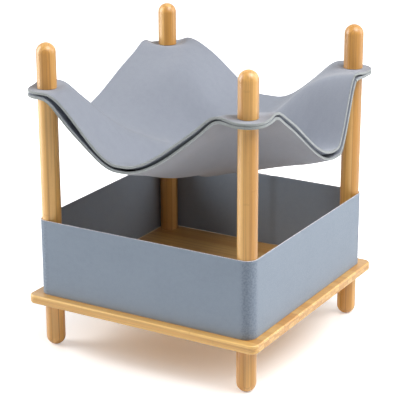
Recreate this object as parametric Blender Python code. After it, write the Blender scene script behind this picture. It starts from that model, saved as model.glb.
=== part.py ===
"""Cat condo: a square bamboo board on four round feet, with a post over each foot.

A low felt wall runs round the outside of the posts and stands on the board. Two felt sheets are
clamped at their corners between the posts and four dome-ended caps, and hang between them as a
hammock. Threaded studs join foot, board and post, and post, felt and cap. Each cap unscrews.

Metres, +Z up. The origin is on the floor, under the middle of the board. The front is -Y.
"""

import math
from typing import NamedTuple

import bmesh
import bpy
import numpy as np
from mathutils import Vector
from mathutils.geometry import delaunay_2d_cdt

# Fit and smoothness
GAP = 0.0003              # clearance between two pieces that touch
ROUND_STEPS = 24          # sides of a post, foot or cap
METAL_STEPS = 16          # sides of an insert or a stud
DOME_STEPS = 7            # rings from the side of a dome to its pole
CORNER_STEPS = 7          # steps round a corner of the board or of the wall
EASE_STEPS = 3            # steps across the board's round-over
FELT_PITCH = 0.023        # spacing of the felt's points
SLOPE_STEP = 0.0005       # distance over which the hammock's slope is taken
MERGE = 0.000001          # points closer than this are one
SHARP_ANGLE = math.radians(40)

# Frame
ROD_DIAMETER = 0.034      # posts, feet and caps are cut from the same rod
FOOT_HEIGHT = 0.0834
FOOT_FLAT = 0.010         # diameter of the sanded flat that the foot stands on
BOARD_SIDE = 0.460
POST_INSET = 0.0344       # from the edges of the board to the axis of a post
BOARD_THICKNESS = 0.016
BOARD_CORNER = 0.0095     # corner radius, seen from above
BOARD_EASE = 0.003        # round-over along the edges
POST_LENGTH = 0.3644
CAP_LENGTH = 0.079
ROD_EASE = 0.001          # chamfer at a sawn end

# Threaded parts
STUD_DIAMETER = 0.008
STUD_CHAMFER = 0.0008
FOOT_STUD_GRIP = 0.021    # length in the foot, and the same in the post
CAP_STUD_ROOT = 0.026     # length in the top of the post
CAP_STUD_GRIP = 0.015     # length in the cap's insert
INSERT_DIAMETER = 0.012
INSERT_LENGTH = 0.022
INSERT_CHAMFER = 0.0006
BORE_RELIEF = 0.003       # depth of a bore past the end of what it holds
BOARD_HOLE = 0.0092       # for the foot studs

# Felt wall
WALL_THICKNESS = 0.002
WALL_HEIGHT = 0.1395
WALL_LAP = 0.036          # overlap of the strip's ends, at the middle of the back

# Felt hammock
FELT_THICKNESS = 0.0046
FELT_HOLE = 0.0092        # for the cap studs
TAB_REACH = 0.033         # from a hole to the edges beside it, and the corner radius
CLAMP_REACH = 0.001       # flat felt past the side of the cap
CLAMP_BLEND = 0.024       # from the flat clamped felt to its free shape
BOWL_LIMIT = 0.150        # depth that two crossing dips level out towards
BASIN_DEPTH = 0.039       # how much further the middle of the sheets sags
LAYER_SPREAD = 0.0030     # how far the free edges of the sheets hang apart
MIDDLE_SPREAD = 0.0055    # how much more they part in the middle
RIGHT_SPREAD = 0.0035     # how much more they part along the right edge
FLARE_SPREAD = 0.0075     # how much more they part beside the front left post
FLARE_AT = 0.075          # distance of that place from the post
FLARE_WIDTH = 0.035
RIDGE_START = 0.161       # distance from a post where its ridge is fully raised
RIDGE_FADE = 0.217        # distance where it starts to fade
RIDGE_WIDTH = 0.049
SWELL_WIDTH = 0.026       # of a swell, along its edge
SWELL_REACH = 0.026       # of a swell, in from its edge

# Heights of the ridges that run in from the posts
FRONT_LEFT_RIDGE = 0.039
FRONT_RIGHT_RIDGE = 0.008
BACK_RIGHT_RIDGE = 0.004
BACK_LEFT_RIDGE = 0.006

# Free edges of the hammock. Pairs go from the low coordinate to the high one.
# DIP is the depth of the lowest stretch below the clamps, TROUGH its ends, from the middle of the edge.
# SHOULDER is where the slopes start, SWELL_AT where the swells are, both in from the post axes.
FRONT_DIP = 0.104
FRONT_TROUGH = (-0.034, -0.025)
FRONT_SHOULDER = (0.015, 0.016)
FRONT_SWELL = (0.001, 0.010)
FRONT_SWELL_AT = (0.033, 0.047)
RIGHT_DIP = 0.112
RIGHT_TROUGH = (0.056, 0.069)
RIGHT_SHOULDER = (0.024, 0.062)
RIGHT_SWELL = (0.007, 0.006)
RIGHT_SWELL_AT = (0.039, 0.056)
BACK_DIP = 0.082
BACK_TROUGH = (-0.003, 0.025)
BACK_SHOULDER = (0.044, 0.024)
BACK_SWELL = (0.010, 0.006)
BACK_SWELL_AT = (0.029, 0.052)
LEFT_DIP = 0.078
LEFT_TROUGH = (-0.074, -0.066)
LEFT_SHOULDER = (0.017, 0.024)
LEFT_SWELL = (0.019, 0.011)
LEFT_SWELL_AT = (0.045, 0.033)


class Edge(NamedTuple):
    """One free edge of the hammock seen square on."""

    dip: float
    trough: tuple
    shoulder: tuple
    swell: tuple
    swell_at: tuple


FRONT_EDGE = Edge(FRONT_DIP, FRONT_TROUGH, FRONT_SHOULDER, FRONT_SWELL, FRONT_SWELL_AT)
RIGHT_EDGE = Edge(RIGHT_DIP, RIGHT_TROUGH, RIGHT_SHOULDER, RIGHT_SWELL, RIGHT_SWELL_AT)
BACK_EDGE = Edge(BACK_DIP, BACK_TROUGH, BACK_SHOULDER, BACK_SWELL, BACK_SWELL_AT)
LEFT_EDGE = Edge(LEFT_DIP, LEFT_TROUGH, LEFT_SHOULDER, LEFT_SWELL, LEFT_SWELL_AT)

# Corners: name, side along X, side along Y, height of the ridge that runs in from that post
CORNERS = (
    ("front_left", -1, -1, FRONT_LEFT_RIDGE),
    ("front_right", 1, -1, FRONT_RIGHT_RIDGE),
    ("back_right", 1, 1, BACK_RIGHT_RIDGE),
    ("back_left", -1, 1, BACK_LEFT_RIDGE),
)

# Worked out from the sizes above
POST_SPACING = BOARD_SIDE - 2 * POST_INSET
HALF = POST_SPACING / 2
ROD_RADIUS = ROD_DIAMETER / 2
STUD_RADIUS = STUD_DIAMETER / 2
INSERT_RADIUS = INSERT_DIAMETER / 2
BOARD_BOTTOM = FOOT_HEIGHT + GAP
BOARD_TOP = BOARD_BOTTOM + BOARD_THICKNESS
POST_BOTTOM = BOARD_TOP + GAP
POST_TOP = POST_BOTTOM + POST_LENGTH
LOWER_FELT_TOP = POST_TOP + GAP + FELT_THICKNESS
UPPER_FELT_TOP = LOWER_FELT_TOP + GAP + FELT_THICKNESS
CAP_BOTTOM = UPPER_FELT_TOP + GAP
CAP_STUD_TOP = CAP_BOTTOM + CAP_STUD_GRIP
STUD_BORE = STUD_RADIUS + GAP
INSERT_BORE = INSERT_RADIUS + GAP
FELT_HALF = HALF + TAB_REACH

BAMBOO = ((0.66, 0.38, 0.15), 0.45, 0.0)
FELT = ((0.44, 0.48, 0.55), 0.95, 0.0)
WALL_FELT = ((0.33, 0.37, 0.43), 0.95, 0.0)
STEEL = ((0.62, 0.62, 0.60), 0.30, 1.0)
BRASS = ((0.72, 0.53, 0.25), 0.35, 1.0)


def place(name, mesh, look, location=(0.0, 0.0, 0.0)):
    """Adds the object with its own material."""
    colour, roughness, metallic = look
    material = bpy.data.materials.new(name + "_finish")
    material.use_nodes = True
    shader = material.node_tree.nodes["Principled BSDF"]
    shader.inputs["Base Color"].default_value = (*colour, 1.0)
    shader.inputs["Roughness"].default_value = roughness
    shader.inputs["Metallic"].default_value = metallic
    mesh.materials.append(material)
    obj = bpy.data.objects.new(name, mesh)
    obj.location = location
    bpy.context.scene.collection.objects.link(obj)
    return obj


def to_mesh(name, bm):
    """Turns the faces outward and shades them smooth, apart from real corners."""
    bmesh.ops.recalc_face_normals(bm, faces=bm.faces)
    mesh = bpy.data.meshes.new(name)
    bm.to_mesh(mesh)
    bm.free()
    mesh.shade_smooth()
    mesh.set_sharp_from_angle(angle=SHARP_ANGLE)
    return mesh


def turned(name, profile, steps, closed=False):
    """A solid turned about Z from (radius, height) points.

    An open profile starts and ends on the axis. A closed one stays off it and makes a ring.
    """
    bm = bmesh.new()
    points = [bm.verts.new((radius, 0.0, height)) for radius, height in profile]
    following = points[1:] + points[:1] if closed else points[1:]
    edges = [bm.edges.new(pair) for pair in zip(points, following)]
    bmesh.ops.spin(bm, geom=points + edges, cent=(0, 0, 0), axis=(0, 0, 1), angle=math.tau, steps=steps)
    bmesh.ops.remove_doubles(bm, verts=bm.verts, dist=MERGE)
    return to_mesh(name, bm)


def arc(centre, radius, start, end, steps):
    """Points of an arc in a plane, both ends included."""
    turn = (end - start) / steps
    return [
        (centre[0] + radius * math.cos(start + i * turn), centre[1] + radius * math.sin(start + i * turn))
        for i in range(steps + 1)
    ]


def rounded_square(half, radius, steps, pitch=None):
    """Outline of a square with round corners, anticlockwise from the front right corner."""
    inner = half - radius
    points = []
    for turn, (side_x, side_y) in enumerate(((1, -1), (1, 1), (-1, 1), (-1, -1))):
        start = (turn - 1) * math.pi / 2
        points += arc((side_x * inner, side_y * inner), radius, start, start + math.pi / 2, steps)
        if pitch:
            cuts = round(2 * inner / pitch)
            here = Vector(points[-1])
            along = Vector((-math.sin(start + math.pi / 2), math.cos(start + math.pi / 2)))
            points += [tuple(here + along * (2 * inner * i / cuts)) for i in range(1, cuts)]
    return points


def extruded(outline, bottom, top):
    """A closed prism over a flat outline."""
    bm = bmesh.new()
    base = bm.faces.new([bm.verts.new((x, y, bottom)) for x, y in outline])
    wall = bmesh.ops.extrude_face_region(bm, geom=[base])
    lifted = [item for item in wall["geom"] if isinstance(item, bmesh.types.BMVert)]
    bmesh.ops.translate(bm, vec=(0, 0, top - bottom), verts=lifted)
    return bm


def bored(profile_side, bore_radius, bore_depth, end_height, inward):
    """Joins a blind bore to a turned outer profile that starts at a sawn end."""
    bottom = end_height + inward * bore_depth
    return [(0.0, bottom), (bore_radius, bottom), (bore_radius, end_height)] + profile_side


def dome(height, pole_height, flat_radius=0.0):
    """Rings of a half ball, from the rod's side at height to the pole, or to a flat on it."""
    toward = math.copysign(1.0, pole_height - height)
    last = math.acos(flat_radius / ROD_RADIUS)
    points = []
    for i in range(DOME_STEPS + 1):
        angle = last * i / DOME_STEPS
        points.append((ROD_RADIUS * math.cos(angle), height + toward * ROD_RADIUS * math.sin(angle)))
    if flat_radius == 0.0:
        points[-1] = (0.0, pole_height)
    else:
        points.append((0.0, points[-1][1]))
    return points


def make_board():
    """The square board, with eased edges and a hole at each foot stud."""
    outline = rounded_square(BOARD_SIDE / 2, BOARD_CORNER, CORNER_STEPS)
    bm = extruded(outline, BOARD_BOTTOM, BOARD_TOP)
    rims = [edge for edge in bm.edges if abs(edge.verts[0].co.z - edge.verts[1].co.z) < BOARD_THICKNESS / 2]
    bmesh.ops.bevel(bm, geom=rims, offset=BOARD_EASE, segments=EASE_STEPS, profile=0.5, affect="EDGES")
    board = place("base_board", to_mesh("base_board", bm), BAMBOO)
    hole_top = BOARD_TOP + BOARD_THICKNESS
    hole_bottom = BOARD_BOTTOM - BOARD_THICKNESS
    bm = bmesh.new()
    for _, side_x, side_y, _ in CORNERS:
        made = bmesh.ops.create_cone(
            bm, cap_ends=True, segments=METAL_STEPS, radius1=BOARD_HOLE / 2, radius2=BOARD_HOLE / 2,
            depth=hole_top - hole_bottom)
        middle = (side_x * HALF, side_y * HALF, (hole_top + hole_bottom) / 2)
        bmesh.ops.translate(bm, vec=middle, verts=made["verts"])
    cutter = place("board_hole_cutter", to_mesh("board_hole_cutter", bm), STEEL)
    cutter.hide_render = True
    cutter.display_type = "WIRE"
    holes = board.modifiers.new("stud_holes", "BOOLEAN")
    holes.operation = "DIFFERENCE"
    holes.solver = "EXACT"
    holes.object = cutter


def foot_mesh():
    """A foot: domed below with a small flat to stand on, bored above for its insert."""
    flat_radius = FOOT_FLAT / 2
    sphere_centre = math.sqrt(ROD_RADIUS ** 2 - flat_radius ** 2)
    side = [(ROD_RADIUS - ROD_EASE, FOOT_HEIGHT), (ROD_RADIUS, FOOT_HEIGHT - ROD_EASE)]
    profile = bored(side, INSERT_BORE, INSERT_LENGTH + BORE_RELIEF, FOOT_HEIGHT, -1)
    return turned("foot", profile + dome(sphere_centre, 0.0, flat_radius), ROUND_STEPS)


def post_mesh():
    """A post: bored below for its insert and above for the cap stud. Heights are from its lower end."""
    stud_depth = CAP_STUD_ROOT + GAP
    profile = bored([], INSERT_BORE, INSERT_LENGTH + BORE_RELIEF, 0.0, 1)
    profile += [(ROD_RADIUS - ROD_EASE, 0.0), (ROD_RADIUS, ROD_EASE)]
    profile += [(ROD_RADIUS, POST_LENGTH - ROD_EASE), (ROD_RADIUS - ROD_EASE, POST_LENGTH)]
    profile += [(STUD_BORE, POST_LENGTH), (STUD_BORE, POST_LENGTH - stud_depth), (0.0, POST_LENGTH - stud_depth)]
    return turned("post", profile, ROUND_STEPS)


def cap_mesh():
    """A cap: bored below for its insert, domed above. Heights are from its lower end."""
    side = [(ROD_RADIUS - ROD_EASE, 0.0), (ROD_RADIUS, ROD_EASE)]
    profile = bored(side, INSERT_BORE, INSERT_LENGTH + BORE_RELIEF, 0.0, 1)
    return turned("cap", profile + dome(CAP_LENGTH - ROD_RADIUS, CAP_LENGTH), ROUND_STEPS)


def insert_mesh():
    """A threaded insert, open right through. Heights are from its lower end."""
    outer, inner, ease = INSERT_RADIUS, STUD_BORE, INSERT_CHAMFER
    profile = [(inner, 0.0), (outer - ease, 0.0), (outer, ease), (outer, INSERT_LENGTH - ease)]
    profile += [(outer - ease, INSERT_LENGTH), (inner, INSERT_LENGTH)]
    return turned("insert", profile, METAL_STEPS, closed=True)


def stud_mesh(name, length):
    """A plain stud with chamfered ends. Heights are from its lower end."""
    ease = STUD_CHAMFER
    profile = [(0.0, 0.0), (STUD_RADIUS - ease, 0.0), (STUD_RADIUS, ease), (STUD_RADIUS, length - ease)]
    profile += [(STUD_RADIUS - ease, length), (0.0, length)]
    return turned(name, profile, METAL_STEPS)


def make_rods_and_studs():
    """Feet, posts, caps, inserts and studs at each corner."""
    foot_stud_bottom = FOOT_HEIGHT - FOOT_STUD_GRIP
    foot_stud_length = POST_BOTTOM + FOOT_STUD_GRIP - foot_stud_bottom
    cap_stud_bottom = POST_TOP - CAP_STUD_ROOT
    kinds = (
        ("foot", foot_mesh, 0.0, BAMBOO),
        ("post", post_mesh, POST_BOTTOM, BAMBOO),
        ("cap", cap_mesh, CAP_BOTTOM, BAMBOO),
        ("foot_insert", insert_mesh, FOOT_HEIGHT - INSERT_LENGTH, BRASS),
        ("post_insert", insert_mesh, POST_BOTTOM, BRASS),
        ("cap_insert", insert_mesh, CAP_BOTTOM, BRASS),
        ("foot_stud", lambda: stud_mesh("foot_stud", foot_stud_length), foot_stud_bottom, STEEL),
        ("cap_stud", lambda: stud_mesh("cap_stud", CAP_STUD_TOP - cap_stud_bottom), cap_stud_bottom, STEEL),
    )
    for kind, build, height, look in kinds:
        for corner, side_x, side_y, _ in CORNERS:
            place(f"{kind}_{corner}", build(), look, (side_x * HALF, side_y * HALF, height))


def wall_side(offset):
    """One side of the wall's strip, from its outer end, round the posts, to its lapped inner end.

    offset is the distance outside the post axes. The last stretch steps in behind the first.
    """
    step_in = WALL_THICKNESS + GAP
    half = HALF + offset
    lapped = half - step_in
    points = [(WALL_LAP / 2, half), (-WALL_LAP / 2, half)]
    for turn, (side_x, side_y) in enumerate(((-1, 1), (-1, -1), (1, -1), (1, 1))):
        start = (turn + 1) * math.pi / 2
        points += arc((side_x * HALF, side_y * HALF), offset, start, start + math.pi / 2, CORNER_STEPS)
    points += [(WALL_LAP, half), (WALL_LAP / 2 + step_in, lapped), (-WALL_LAP / 2, lapped)]
    return points


def make_wall():
    """The felt strip round the posts, standing on the board. Its ends lap at the back."""
    inner = ROD_RADIUS + GAP
    outline = wall_side(inner + WALL_THICKNESS) + wall_side(inner)[::-1]
    bm = extruded(outline, BOARD_TOP + GAP, BOARD_TOP + GAP + WALL_HEIGHT)
    place("wall_band", to_mesh("wall_band", bm), WALL_FELT)


def smooth(value):
    """Eases from 0 to 1."""
    value = np.clip(value, 0.0, 1.0)
    return value * value * (3.0 - 2.0 * value)


def edge_dip(along, edge):
    """Height of a free edge above the clamps, without its swells, at distances from its middle."""
    low, high = edge.trough
    rise_low = smooth((low - along) / (low + HALF - edge.shoulder[0]))
    rise_high = smooth((along - high) / (HALF - edge.shoulder[1] - high))
    return -edge.dip * (1.0 - rise_low - rise_high)


def edge_swell(along, inward, edge):
    """Height of an edge's swells, which fade in from the line between its posts."""
    height = np.zeros_like(along)
    for side, swell, inset in zip((-1, 1), edge.swell, edge.swell_at):
        height = height + swell * np.exp(-((along - side * (HALF - inset)) / SWELL_WIDTH) ** 2)
    return height * np.exp(-(np.maximum(inward, 0.0) / SWELL_REACH) ** 2)


def basin(x, y):
    """1 in the middle of the sheets, falling to 0 at their edges."""
    across = np.clip(x / FELT_HALF, -1.0, 1.0)
    deep = np.clip(y / FELT_HALF, -1.0, 1.0)
    return (1.0 - across ** 2) * (1.0 - deep ** 2)


def freedom(x, y):
    """0 where the sheets are clamped, rising to 1 where they hang free."""
    free = np.ones_like(x)
    for _, side_x, side_y, _ in CORNERS:
        reach = np.hypot(x - side_x * HALF, y - side_y * HALF)
        free = free * smooth((reach - ROD_RADIUS - CLAMP_REACH) / CLAMP_BLEND)
    return free


def ridges(x, y):
    """Height of the ridges that run in from the posts along the diagonals."""
    centre = HALF * math.sqrt(2.0)
    height = np.zeros_like(x)
    for _, side_x, side_y, ridge in CORNERS:
        inward = centre - (x * side_x + y * side_y) / math.sqrt(2.0)
        sideways = (x * side_x - y * side_y) / math.sqrt(2.0)
        raised = smooth(inward / RIDGE_START) * (1.0 - smooth((inward - RIDGE_FADE) / (centre - RIDGE_FADE)))
        height = height + ridge * raised * np.exp(-(sideways / RIDGE_WIDTH) ** 2)
    return height


def hammock_height(x, y):
    """Height of the upper sheet's top above the clamps. Each direction blends two opposite edges."""
    to_right = smooth((x + HALF) / POST_SPACING)
    to_back = smooth((y + HALF) / POST_SPACING)
    across = edge_dip(x, FRONT_EDGE) * (1.0 - to_back) + edge_dip(x, BACK_EDGE) * to_back
    deep = edge_dip(y, LEFT_EDGE) * (1.0 - to_right) + edge_dip(y, RIGHT_EDGE) * to_right
    height = across + deep + across * deep / BOWL_LIMIT - BASIN_DEPTH * basin(x, y)
    height = height + edge_swell(x, y + HALF, FRONT_EDGE) + edge_swell(x, HALF - y, BACK_EDGE)
    height = height + edge_swell(y, x + HALF, LEFT_EDGE) + edge_swell(y, HALF - x, RIGHT_EDGE)
    return (height + ridges(x, y)) * freedom(x, y)


def hammock_normal(x, y):
    """Upward unit normal of the upper sheet's top."""
    step = SLOPE_STEP
    slope_x = (hammock_height(x + step, y) - hammock_height(x - step, y)) / (2 * step)
    slope_y = (hammock_height(x, y + step) - hammock_height(x, y - step)) / (2 * step)
    normal = np.stack([-slope_x, -slope_y, np.ones_like(slope_x)], axis=1)
    return normal / np.linalg.norm(normal, axis=1, keepdims=True)


def layer_gap(x, y):
    """Distance between the two sheets: a bare touch at the clamps, wider where they hang free."""
    reach = np.hypot(x + HALF, y + HALF)
    flare = FLARE_SPREAD * np.exp(-((reach - FLARE_AT) / FLARE_WIDTH) ** 2)
    to_right = smooth((x + HALF) / POST_SPACING)
    beside = RIGHT_SPREAD * to_right * (1.0 - np.clip(y / FELT_HALF, -1.0, 1.0) ** 2)
    return GAP + freedom(x, y) * (LAYER_SPREAD + MIDDLE_SPREAD * basin(x, y) + flare + beside)


def felt_layout():
    """Flat triangles of a sheet seen from above: rounded outline, four holes and rings about them."""
    outline = rounded_square(FELT_HALF, TAB_REACH, CORNER_STEPS, FELT_PITCH)
    points = list(outline)
    edges = [(i, (i + 1) % len(outline)) for i in range(len(outline))]
    clamp_radius = ROD_RADIUS + CLAMP_REACH
    holes = []
    for _, side_x, side_y, _ in CORNERS:
        centre = (side_x * HALF, side_y * HALF)
        for radius, steps in ((FELT_HOLE / 2, METAL_STEPS), (clamp_radius, METAL_STEPS)):
            first = len(points)
            points += arc(centre, radius, 0.0, math.tau, steps)[:-1]
            edges += [(first + i, first + (i + 1) % steps) for i in range(steps)]
        holes.append(centre)
    clear = clamp_radius + FELT_PITCH / 2
    cells = round(2 * FELT_HALF / FELT_PITCH)
    for i in range(1, cells):
        for j in range(1, cells):
            point = (-FELT_HALF + 2 * FELT_HALF * i / cells, -FELT_HALF + 2 * FELT_HALF * j / cells)
            if min(math.dist(point, hole) for hole in holes) > clear:
                points.append(point)
    made = delaunay_2d_cdt([Vector(point) for point in points], edges, [], 1, MERGE)
    flat = np.array([tuple(vert) for vert in made[0]])
    triangles = []
    for face in made[2]:
        middle = flat[list(face)].mean(axis=0)
        if min(math.dist(middle, hole) for hole in holes) > FELT_HOLE / 2:
            triangles.append(tuple(face))
    return flat, triangles


def make_sheet(name, flat, triangles, top_depth):
    """A sheet of felt. top_depth is how far its top lies under the upper sheet's top, point by point."""
    x, y = flat[:, 0], flat[:, 1]
    surface = np.stack([x, y, UPPER_FELT_TOP + hammock_height(x, y)], axis=1)
    normal = hammock_normal(x, y)
    top = surface - normal * top_depth[:, None]
    bottom = surface - normal * (top_depth + FELT_THICKNESS)[:, None]
    bm = bmesh.new()
    upper = [bm.verts.new(point) for point in top]
    lower = [bm.verts.new(point) for point in bottom]
    for triangle in triangles:
        bm.faces.new([upper[i] for i in triangle])
        bm.faces.new([lower[i] for i in reversed(triangle)])
    index = {vert: i for i, vert in enumerate(upper)}
    for edge in [edge for edge in bm.edges if edge.is_boundary and edge.verts[0] in index]:
        a, b = (index[vert] for vert in edge.verts)
        bm.faces.new((upper[a], upper[b], lower[b], lower[a]))
    place(name, to_mesh(name, bm), FELT)


def make_hammock():
    """The two sheets, one under the other."""
    flat, triangles = felt_layout()
    x, y = flat[:, 0], flat[:, 1]
    make_sheet("hammock_upper_felt", flat, triangles, np.zeros_like(x))
    make_sheet("hammock_lower_felt", flat, triangles, FELT_THICKNESS + layer_gap(x, y))


def main():
    """Builds every piece in an empty scene."""
    for obj in list(bpy.data.objects):
        bpy.data.objects.remove(obj)
    make_board()
    make_rods_and_studs()
    make_wall()
    make_hammock()


main()
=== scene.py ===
"""The looks of the cat condo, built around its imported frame.

A square bamboo board stands on four round feet. Posts of the same rod rise over the feet and are
capped by short domed lengths, which clamp two sheets of felt between them as a hammock. A low wall
of felt runs round the posts. The frame gives the place and size of every piece.

Metres, +Z up. The front is -Y. The nearest post in the photograph is the front right one.
"""

import logging
import math
from contextlib import contextmanager
from dataclasses import dataclass, field
from enum import Enum
from typing import Any, Callable, Iterator

import bmesh
import bpy
import numpy as np
from mathutils import Euler, Matrix, Vector, noise
from mathutils.geometry import delaunay_2d_cdt

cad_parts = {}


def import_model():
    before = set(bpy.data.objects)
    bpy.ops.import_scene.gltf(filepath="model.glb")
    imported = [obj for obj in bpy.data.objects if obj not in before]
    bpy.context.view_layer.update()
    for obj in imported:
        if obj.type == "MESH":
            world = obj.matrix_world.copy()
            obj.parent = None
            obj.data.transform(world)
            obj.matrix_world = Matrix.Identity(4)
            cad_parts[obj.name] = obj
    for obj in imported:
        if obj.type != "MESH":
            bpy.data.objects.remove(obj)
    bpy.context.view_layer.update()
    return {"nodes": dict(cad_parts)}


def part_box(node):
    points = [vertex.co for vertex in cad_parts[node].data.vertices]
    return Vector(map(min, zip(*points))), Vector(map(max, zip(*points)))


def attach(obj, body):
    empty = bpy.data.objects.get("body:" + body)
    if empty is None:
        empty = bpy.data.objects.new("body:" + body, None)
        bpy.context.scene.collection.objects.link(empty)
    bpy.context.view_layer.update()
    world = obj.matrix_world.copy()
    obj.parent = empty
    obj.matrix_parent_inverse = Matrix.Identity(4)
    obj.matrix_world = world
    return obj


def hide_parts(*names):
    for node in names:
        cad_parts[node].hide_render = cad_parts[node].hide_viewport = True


log = logging.getLogger("cat_condo")

Pair = tuple[float, float]
Triple = tuple[float, float, float]
FLOAT, VECTOR, COLOUR = "NodeSocketFloat", "NodeSocketVector", "NodeSocketColor"

STOCK = "stock"               # attribute: a point's place in the bamboo blank that its piece was cut from
TONE_AND_LIGHT = "tone"                 # attribute: how much deeper the bamboo of a piece is than the usual; on the front left post it is paler as painted light
CUT = "cut_edge"              # attribute: 1 on a cut edge of felt, 0 on its faces
BEND_SHADE = "stretch"           # attribute: painted shade, 1 where the felt is darkened round a bend
SHARP_ANGLE = math.radians(38)
NEAR = 1e-5                   # places closer than this are the same
LEVEL = 0.9                   # a face with this much Z in its normal lies level
TOUCH = 0.0003                # gap left between pieces that touch
WHITE = (1.0, 1.0, 1.0, 1.0)


class Corner(Enum):
    """The four corners, each with its name in the frame and its sides along X and Y."""

    FRONT_LEFT = ("front_left", -1, -1)
    FRONT_RIGHT = ("front_right", 1, -1)
    BACK_RIGHT = ("back_right", 1, 1)
    BACK_LEFT = ("back_left", -1, 1)

    @property
    def label(self) -> str:
        """The corner's name, as the frame's nodes end."""
        return self.value[0]

    @property
    def side_x(self) -> int:
        """-1 on the left and 1 on the right."""
        return self.value[1]

    @property
    def side_y(self) -> int:
        """-1 in front and 1 behind."""
        return self.value[2]


class Slot(Enum):
    """The record's material slots."""

    BOARD = "bamboo_board"
    ROD = "bamboo_rod"
    STEEL = "stud_steel"
    WALL = "wall_felt"
    HAMMOCK = "hammock_felt"


class Rod(Enum):
    """What is cut from the rod, each kind with the start of its nodes' names."""

    FOOT = "foot"
    POST = "post"
    CAP = "cap"


class Part(Enum):
    """What is picked of a mesh in edit mode."""

    FACE = "FACE"
    EDGE = "EDGE"


@dataclass(frozen=True)
class Round:
    """An upright round CAD node: the middle of its axis, its radius and the heights of its ends."""

    axis: Vector
    radius: float
    bottom: float
    top: float


def measure(node: str) -> Round:
    """The sizes of an upright round CAD node, read from its box."""
    low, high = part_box(node)
    return Round((low + high) / 2, (high.x - low.x) / 2, low.z, high.z)


# Working with Blender's operators


def let_go() -> None:
    """Deselects every object."""
    bpy.ops.object.select_all(action="DESELECT")


def take(piece: bpy.types.Object) -> None:
    """Selects one object alone and makes it the active one.

    Args:
        piece: the object to work on.
    """
    let_go()
    piece.select_set(True)
    bpy.context.view_layer.objects.active = piece


@contextmanager
def editing(piece: bpy.types.Object) -> Iterator[None]:
    """Holds a piece in edit mode, with nothing selected to start with.

    Args:
        piece: the mesh object to edit.
    """
    take(piece)
    bpy.ops.object.mode_set(mode="EDIT")
    bpy.ops.mesh.select_all(action="DESELECT")
    yield
    bpy.ops.object.mode_set(mode="OBJECT")


def pick(piece: bpy.types.Object, part: Part, wanted: Callable[[Any], bool]) -> None:
    """Selects faces or edges of a piece in edit mode, and nothing else.

    Args:
        piece: the mesh object in edit mode.
        part: whether faces or edges are picked.
        wanted: says whether one of them is selected.
    """
    bpy.ops.mesh.select_all(action="DESELECT")
    bpy.ops.mesh.select_mode(type=part.value)
    mesh = bmesh.from_edit_mesh(piece.data)
    for element in mesh.faces if part is Part.FACE else mesh.edges:
        element.select_set(wanted(element))
    bmesh.update_edit_mesh(piece.data)


def grow_faces(rise: float, scale: float = 1.0, centre: Vector = Vector()) -> None:
    """Extrudes the selected faces upward and scales what was extruded about an axis.

    Args:
        rise: how far the new faces move along Z.
        scale: how much wider they become.
        centre: a point on the axis.
    """
    bpy.ops.mesh.extrude_region_move(TRANSFORM_OT_translate={"value": (0.0, 0.0, rise)})
    if scale != 1.0:
        bpy.ops.transform.resize(value=(scale, scale, 1.0), center_override=centre)


def name_new(name: str) -> bpy.types.Object:
    """Names the primitive that was just added and puts its place into its mesh.

    Args:
        name: its name.

    Returns:
        The object.
    """
    piece = bpy.context.object
    piece.name = name
    bpy.ops.object.transform_apply(location=True, rotation=True, scale=True)
    return piece


def add_cylinder(name: str, sides: int, radius: float, ends: Pair, axis: Vector) -> bpy.types.Object:
    """Adds an upright cylinder.

    Args:
        name: its name.
        sides: how many sides it has.
        radius: its radius.
        ends: the heights of its lower and its upper end.
        axis: a point on its axis.

    Returns:
        The cylinder.
    """
    let_go()
    bpy.ops.mesh.primitive_cylinder_add(
        vertices=sides, radius=radius, depth=ends[1] - ends[0], location=(axis.x, axis.y, sum(ends) / 2))
    return name_new(name)


def apply_modifier(piece: bpy.types.Object, kind: str, **settings: Any) -> None:
    """Adds a modifier to a piece and applies it.

    Args:
        piece: the object to change.
        kind: the modifier's type.
        **settings: the modifier's own values.
    """
    take(piece)
    modifier = piece.modifiers.new(kind.lower(), kind)
    for name, value in settings.items():
        setattr(modifier, name, value)
    bpy.ops.object.modifier_apply(modifier=modifier.name)


def settle(piece: bpy.types.Object) -> None:
    """Shades a finished piece, smooth but for its sharp edges.

    Args:
        piece: the mesh object to finish.
    """
    take(piece)
    bpy.ops.object.shade_smooth_by_angle(angle=SHARP_ANGLE)
    apply_modifier(piece, "WEIGHTED_NORMAL", keep_sharp=True)


def mesh_points(piece: bpy.types.Object) -> np.ndarray:
    """The points of a piece's mesh.

    Args:
        piece: the mesh object.

    Returns:
        An array with a row for each point.
    """
    points = np.zeros(len(piece.data.vertices) * 3)
    piece.data.vertices.foreach_get("co", points)
    return points.reshape(-1, 3)


def set_points(piece: bpy.types.Object, points: np.ndarray) -> None:
    """Moves the points of a piece's mesh to the given places."""
    piece.data.vertices.foreach_set("co", points.astype(np.float32).ravel())
    piece.data.update()


def write_values(mesh: bpy.types.Mesh, label: str, values: np.ndarray) -> None:
    """Writes a number or a vector at each point of a mesh.

    Args:
        mesh: the mesh.
        label: the attribute's name.
        values: a number or a row for each point.
    """
    kind, key = ("FLOAT", "value") if values.ndim == 1 else ("FLOAT_VECTOR", "vector")
    attribute = mesh.attributes.new(label, kind, "POINT")
    attribute.data.foreach_set(key, values.astype(np.float32).ravel())


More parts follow.
